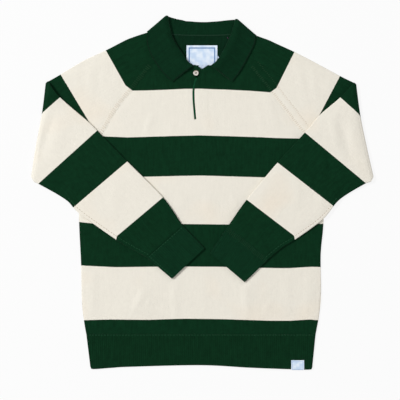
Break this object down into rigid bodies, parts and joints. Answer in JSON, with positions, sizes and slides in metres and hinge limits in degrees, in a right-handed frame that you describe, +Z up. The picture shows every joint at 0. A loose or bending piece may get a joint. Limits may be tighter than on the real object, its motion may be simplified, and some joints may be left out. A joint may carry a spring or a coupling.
{
  "type": "rugby shirt",
  "caption": "Knitted cotton rugby shirt with raglan sleeves, knitted collar and buttoned half placket, laid flat with both sleeves folded over the front.",
  "frame": {"origin": "on the surface that the shirt lies on, under the middle of its outline", "axes": "+X to the viewer's right of the front, +Y towards the collar, +Z up from the surface, out of the front"},
  "size_m": [0.7178, 0.7444, 0.0102],
  "materials": {
    "striped_knit": "fine cotton jersey knit in broad bottle green and cream stripes, matt",
    "green_knit": "fine cotton jersey knit, bottle green, matt",
    "green_rib": "cotton rib knit, bottle green, matt",
    "shell": "polished mother-of-pearl",
    "woven_label": "smooth woven satin, pale blue"
  },
  "bodies": {
    "root": {"back_panel": "striped_knit", "front_panel": "striped_knit", "sleeve_left": "striped_knit", "sleeve_right": "striped_knit", "collar": "green_knit", "placket_binding": "green_knit", "hem_front": "green_rib", "hem_back": "green_rib", "cuff_left": "green_rib", "cuff_right": "green_rib", "button": "shell", "neck_label": "woven_label", "care_label": "woven_label", "hem_label": "woven_label"}
  },
  "joints": []
}
